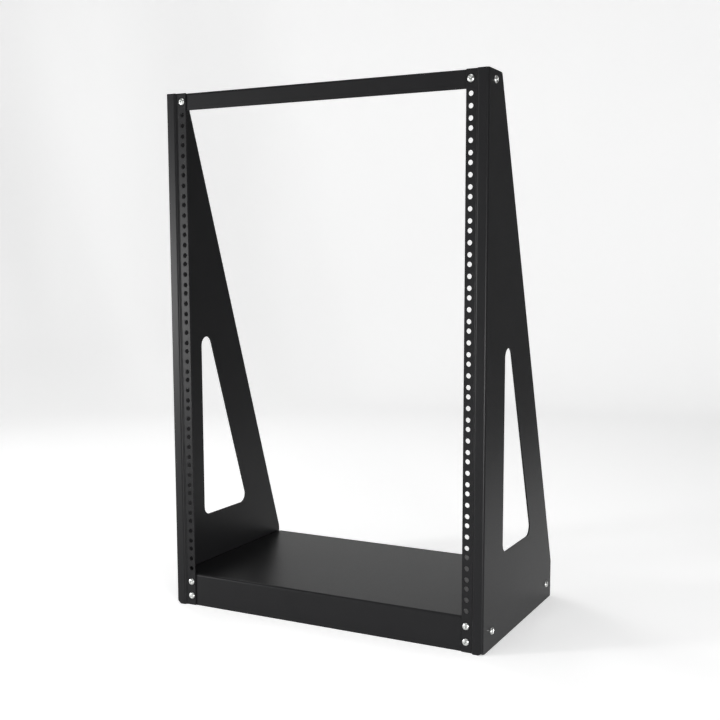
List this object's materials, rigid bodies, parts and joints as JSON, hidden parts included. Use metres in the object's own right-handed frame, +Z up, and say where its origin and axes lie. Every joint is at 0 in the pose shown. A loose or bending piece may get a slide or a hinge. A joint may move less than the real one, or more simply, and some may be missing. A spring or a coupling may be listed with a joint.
{
  "type": "two post open frame rack",
  "caption": "Open frame equipment rack of folded black sheet steel: hole strips on sloped side panels with triangular windows, a head beam and a base shelf.",
  "frame": {"origin": "on the floor, in the middle of the rack's width and depth", "axes": "+Z up, +X to the right of someone who faces the rack's front, and the front faces -Y"},
  "size_m": [0.518, 0.3016, 0.7891],
  "materials": {
    "frame_coat": "fine textured black powder coat",
    "screw_zinc": "bright zinc plate"
  },
  "bodies": {
    "root": {"left_side_panel": "frame_coat", "right_side_panel": "frame_coat", "head_beam": "frame_coat", "base_shelf": "frame_coat"}
  },
  "joints": []
}
